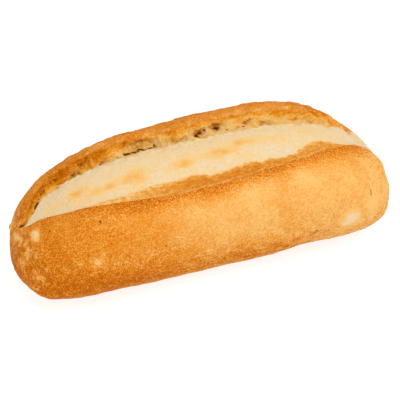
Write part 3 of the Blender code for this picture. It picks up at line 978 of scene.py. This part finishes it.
def add_hollows(nodes, edge_noise, colour):
    """Painted shade in the hollows of the torn wall, and the scorched pores with painted deep shade in
    them.
    """
    # Crumb seen in painted shade, olive-tan, for the hollows.
    recess_shade = nodes.ramp(
        nodes.noise(560.0, detail=3.0, roughness=0.65),
        (0.30, 188, 128, 46), (0.50, 224, 165, 78), (0.70, 244, 196, 114),
    )
    hollow = nodes.step(nodes.plus(nodes.mask("hollow"), edge_noise), 0.30, 0.95)
    colour = nodes.mix(hollow, colour, recess_shade)
    pore_and_shade = nodes.plus(nodes.mask("pore_and_shade"), nodes.times(edge_noise, 0.5))
    # Scorched brown, and olive painted shade in the deep crevices.
    scorch_and_shade = nodes.ramp(
        pore_and_shade,
        (0.30, 184, 116, 34), (0.60, 138, 82, 20), (1.00, 78, 26, 4),
    )
    return nodes.mix(nodes.step(pore_and_shade, 0.20, 0.60), colour, scorch_and_shade)


def add_marks(nodes, edge_noise, colour):
    """Flour, small dark marks, the lighter, yellower foot and the underside."""
    flour = nodes.times(nodes.mask("flour"), nodes.scaled(edge_noise, 2.0, 1.1))
    colour = nodes.mix(nodes.step(flour, 0.30, 1.05), colour, seen(252, 220, 172))
    speck = nodes.step(nodes.mask("speck"), 0.25, 0.70)
    colour = nodes.mix(speck, colour, seen(120, 62, 26))
    foot = nodes.times(nodes.mask("foot"), nodes.plus(edge_noise, 0.75))
    colour = nodes.mix(foot, colour, seen(230, 168, 84))
    under = nodes.ramp(
        nodes.noise(300.0, detail=4.0, roughness=0.6),
        (0.35, 188, 122, 50), (0.55, 216, 148, 70), (0.72, 238, 190, 122),
    )
    return nodes.mix(nodes.times(nodes.mask("underside"), 0.85), colour, under)


def make_crust():
    """One material for the whole roll: crust, ledge, pale band, torn wall and flour."""
    material = bpy.data.materials.new("bread_crust")
    material.use_nodes = True
    nodes = Nodes(material)
    shader = material.node_tree.nodes["Principled BSDF"]
    edge_noise = nodes.around(nodes.noise(700.0), 0.8)

    pale = nodes.step(nodes.plus(nodes.mask("pale"), edge_noise), 0.30, 0.70)
    colour = nodes.mix(pale, crust_colour(nodes), band_colour(nodes))
    ledge = nodes.plus(nodes.mask("ledge"), nodes.times(edge_noise, 0.5))
    colour = nodes.mix(nodes.step(ledge, 0.08, 0.40), colour, ledge_colour(nodes, ledge))
    # A painted highlight along the lip's edge, broken in places.
    broken = nodes.step(nodes.noise(380.0, detail=3.0), 0.38, 0.58)
    lip_highlight = nodes.times(nodes.times(nodes.mask("lip_highlight"), broken), 0.60)
    colour = nodes.mix(lip_highlight, colour, seen(260, 210, 138))
    torn = nodes.plus(nodes.mask("torn"), nodes.times(edge_noise, 0.6))
    colour = nodes.mix(nodes.step(torn, 0.15, 0.85), colour, torn_colour(nodes))
    colour = add_hollows(nodes, edge_noise, colour)
    colour = add_marks(nodes, edge_noise, colour)
    nodes.feed(shader.inputs["Base Color"], colour)

    crumbs = nodes.noise(620.0, detail=4.0, roughness=0.7)
    roughness = nodes.scaled(crumbs, 0.25, 0.48)
    roughness = nodes.plus(roughness, nodes.times(nodes.mask("torn"), 0.15), clamp=True)
    nodes.feed(shader.inputs["Roughness"], roughness)
    shader.inputs["Specular IOR Level"].default_value = 0.02

    strength = nodes.scaled(nodes.mask("torn"), 2.2, 1.0)
    grain = nodes.times(nodes.noise(900.0, detail=3.0, roughness=0.65), strength)
    pits = nodes.times(nodes.cells(700.0), 0.35)
    bump = nodes.add("ShaderNodeBump")
    bump.inputs["Strength"].default_value = 0.7
    bump.inputs["Distance"].default_value = 0.00040
    nodes.feed(bump.inputs["Height"], nodes.plus(grain, pits))
    nodes.feed(shader.inputs["Normal"], bump.outputs["Normal"])
    return material


def make_roll():
    """The finer roll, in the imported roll's place."""
    points, masks = build_roll()
    roll = bpy.data.objects.new("roll_crust", make_mesh("roll_crust", points, masks))
    bpy.context.scene.collection.objects.link(roll)
    roll.data.materials.append(make_crust())
    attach(roll, "root")
    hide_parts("roll")


# The table, the light and the camera


def make_floor():
    bpy.ops.mesh.primitive_plane_add(size=6.0, location=(0.0, 0.0, 0.0))
    floor = bpy.context.object
    floor.name = "table"
    material = bpy.data.materials.new("table_white")
    material.use_nodes = True
    shader = material.node_tree.nodes["Principled BSDF"]
    shader.inputs["Base Color"].default_value = (0.30, 0.30, 0.30, 1.0)
    shader.inputs["Roughness"].default_value = 0.7
    # The table glows faintly, as a lightbox does, which keeps the shadow soft.
    shader.inputs["Emission Color"].default_value = (1.0, 1.0, 1.0, 1.0)
    shader.inputs["Emission Strength"].default_value = 0.80
    floor.data.materials.append(material)


def make_light(name, direction, distance, size, power):
    """A soft square light that faces the roll."""
    data = bpy.data.lights.new(name, "AREA")
    data.shape = "SQUARE"
    data.size = size
    data.energy = power
    light = bpy.data.objects.new(name, data)
    bpy.context.scene.collection.objects.link(light)
    place = Vector(direction).normalized() * distance
    light.location = place
    light.rotation_euler = place.to_track_quat("Z", "Y").to_euler()


def make_lights():
    make_light("key", direction=(0.35, -0.45, 1.00), distance=1.3, size=1.0, power=12.0)
    make_light("fill", direction=(-0.85, -0.60, 0.62), distance=1.4, size=1.1, power=4.7)
    make_light("back", direction=(-0.15, 0.90, 0.80), distance=1.5, size=1.1, power=2.6)
    world = bpy.data.worlds.new("studio")
    world.use_nodes = True
    bpy.context.scene.world = world
    backdrop = world.node_tree.nodes["Background"]
    backdrop.inputs["Color"].default_value = (1.0, 1.0, 1.0, 1.0)
    backdrop.inputs["Strength"].default_value = 0.55


def make_camera():
    """The photograph's view: the roll's middle lies on the target pixel."""
    azimuth, elevation = VIEW_AZIMUTH, VIEW_ELEVATION
    back = Vector((
        math.sin(azimuth) * math.cos(elevation),
        -math.cos(azimuth) * math.cos(elevation),
        math.sin(elevation),
    ))
    right = Vector((math.cos(azimuth), math.sin(azimuth), 0.0))
    up = back.cross(right)
    place = Vector((0.0, 0.0, 0.5 * HEIGHT)) + back * VIEW_DISTANCE
    data = bpy.data.cameras.new("camera")
    data.sensor_width = SENSOR
    data.lens = LENS_PIXELS / PHOTO_PIXELS * SENSOR
    data.shift_x = (0.5 * PHOTO_PIXELS - TARGET_PIXEL[0]) / PHOTO_PIXELS
    data.shift_y = (TARGET_PIXEL[1] - 0.5 * PHOTO_PIXELS) / PHOTO_PIXELS
    data.clip_start = 0.01
    camera = bpy.data.objects.new("camera", data)
    bpy.context.scene.collection.objects.link(camera)
    camera.matrix_world = Matrix.Translation(place) @ Matrix((right, up, back)).transposed().to_4x4()
    bpy.context.scene.camera = camera


bpy.context.scene.view_settings.view_transform = "Standard"
make_camera()
make_roll()
make_floor()
make_lights()
